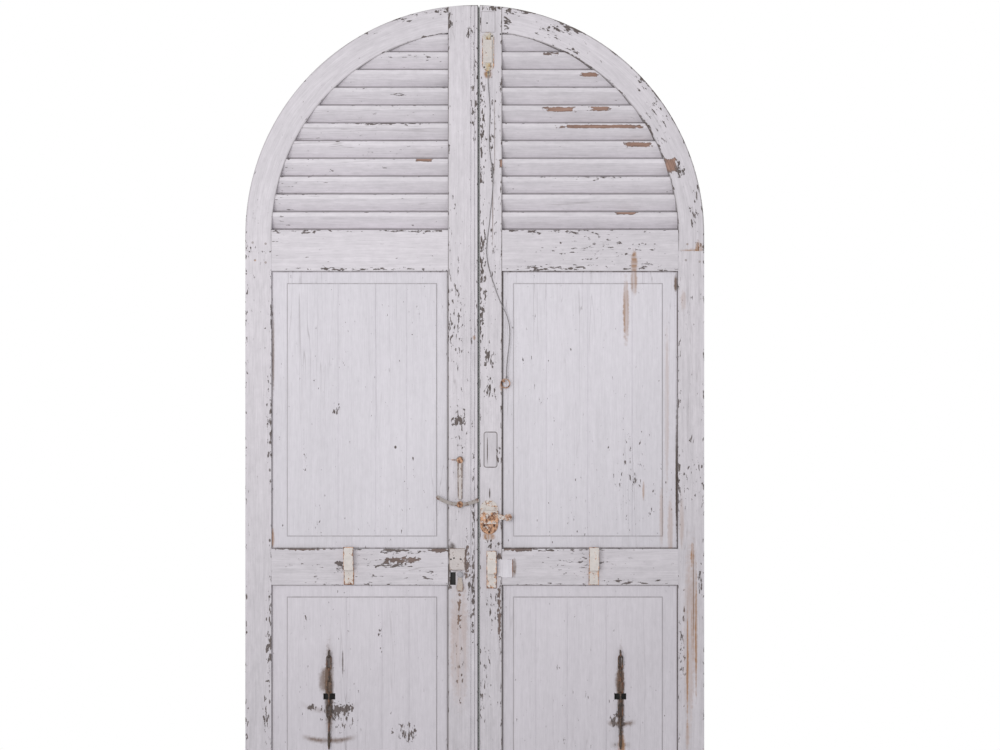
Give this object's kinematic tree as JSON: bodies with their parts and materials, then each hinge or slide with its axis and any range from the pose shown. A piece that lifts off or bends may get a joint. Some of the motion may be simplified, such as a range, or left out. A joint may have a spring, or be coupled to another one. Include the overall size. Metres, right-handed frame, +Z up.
{
  "type": "wooden window shutter",
  "caption": "Pair of arched wooden shutter leaves, louvred above and panelled below, hung by strap hinges on pintles, with an old latch, bolt, hook, bar brackets and chains.",
  "frame": {"origin": "at the foot of the leaves, below the arch's centre, in the middle of the leaves' thickness", "axes": "+X to the right seen from inside, +Y to the outside, +Z up"},
  "size_m": [1.2, 0.084, 2.373],
  "materials": {
    "painted_frame": "matte",
    "painted_panel": "matte",
    "painted_slat": "matte",
    "painted_iron": "matte",
    "rusty_iron": "matte",
    "dark_iron": "matte",
    "cord": "matte"
  },
  "bodies": {
    "wall_pintles": {"left_pintles": "dark_iron", "right_pintles": "dark_iron"},
    "left_leaf": {"left_outer_stile": "painted_frame", "left_meeting_stile": "painted_frame", "left_arch_head": "painted_frame", "left_transom_rail": "painted_frame", "left_lock_rail": "painted_frame", "left_bottom_rail": "painted_frame", "left_upper_panel": "painted_panel", "left_lower_panel": "painted_panel", "left_slat_01": "painted_slat", "left_slat_02": "painted_slat", "left_slat_03": "painted_slat", "left_slat_04": "painted_slat", "left_slat_05": "painted_slat", "left_slat_06": "painted_slat", "left_slat_07": "painted_slat", "left_slat_08": "painted_slat", "left_slat_09": "painted_slat", "left_slat_10": "painted_slat", "left_slat_11": "painted_slat", "left_hinge_straps": "dark_iron", "left_chain_staple": "dark_iron", "pivot_studs": "rusty_iron", "lock_plate": "painted_iron", "left_bar_bracket": "painted_iron"},
    "right_leaf": {"right_outer_stile": "painted_frame", "right_meeting_stile": "painted_frame", "right_arch_head": "painted_frame", "right_transom_rail": "painted_frame", "right_lock_rail": "painted_frame", "right_bottom_rail": "painted_frame", "right_upper_panel": "painted_panel", "right_lower_panel": "painted_panel", "right_slat_01": "painted_slat", "right_slat_02": "painted_slat", "right_slat_03": "painted_slat", "right_slat_04": "painted_slat", "right_slat_05": "painted_slat", "right_slat_06": "painted_slat", "right_slat_07": "painted_slat", "right_slat_08": "painted_slat", "right_slat_09": "painted_slat", "right_slat_10": "painted_slat", "right_slat_11": "painted_slat", "right_hinge_straps": "dark_iron", "right_chain_staple": "dark_iron", "latch_plate": "painted_iron", "latch_cord": "cord", "pull_ring": "rusty_iron", "ring_nail": "rusty_iron", "rim_bolt_plate": "rusty_iron", "right_bar_brackets": "painted_iron"},
    "latch_bolt": {"latch_bolt": "rusty_iron"},
    "rim_bolt": {"rim_bolt": "rusty_iron"},
    "hook_bar": {"hook_bar": "painted_iron"},
    "turn_lever": {"turn_lever": "rusty_iron"},
    "drop_pull": {"drop_pull": "painted_iron"},
    "left_chain": {"left_chain": "dark_iron"},
    "right_chain": {"right_chain": "dark_iron"}
  },
  "joints": [
    {"name": "left_leaf_swing", "type": "hinge", "parent": "wall_pintles", "child": "left_leaf", "pos_m": [-0.586, 0.029, 0.9], "axis": [0, 0, 1], "range_deg": [0, 175]},
    {"name": "right_leaf_swing", "type": "hinge", "parent": "wall_pintles", "child": "right_leaf", "pos_m": [0.586, 0.029, 0.9], "axis": [0, 0, -1], "range_deg": [0, 175]},
    {"name": "latch_bolt_slide", "type": "slide", "parent": "right_leaf", "child": "latch_bolt", "axis": [0, 0, -1], "range_m": [0, 0.012], "stiffness_N_per_m": 300, "springref_m": -0.01},
    {"name": "rim_bolt_slide", "type": "slide", "parent": "right_leaf", "child": "rim_bolt", "axis": [-1, 0, 0], "range_m": [0, 0.016]},
    {"name": "hook_bar_swing", "type": "hinge", "parent": "left_leaf", "child": "hook_bar", "pos_m": [-0.0385, -0.02, 1.183], "axis": [0, -1, 0], "range_deg": [-30, 90]},
    {"name": "turn_lever_turn", "type": "hinge", "parent": "left_leaf", "child": "turn_lever", "pos_m": [-0.0385, -0.026, 1.068], "axis": [0, 1, 0], "range_deg": [0, 150]},
    {"name": "drop_pull_swing", "type": "hinge", "parent": "left_leaf", "child": "drop_pull", "pos_m": [-0.0385, -0.02, 0.8845], "axis": [0, 1, 0], "range_deg": [-60, 60]},
    {"name": "left_chain_swing", "type": "hinge", "parent": "left_leaf", "child": "left_chain", "pos_m": [-0.381, -0.019, 0.668], "axis": [0, 1, 0], "range_deg": [-30, 30]},
    {"name": "right_chain_swing", "type": "hinge", "parent": "right_leaf", "child": "right_chain", "pos_m": [0.381, -0.019, 0.668], "axis": [0, 1, 0], "range_deg": [-30, 30]}
  ]
}
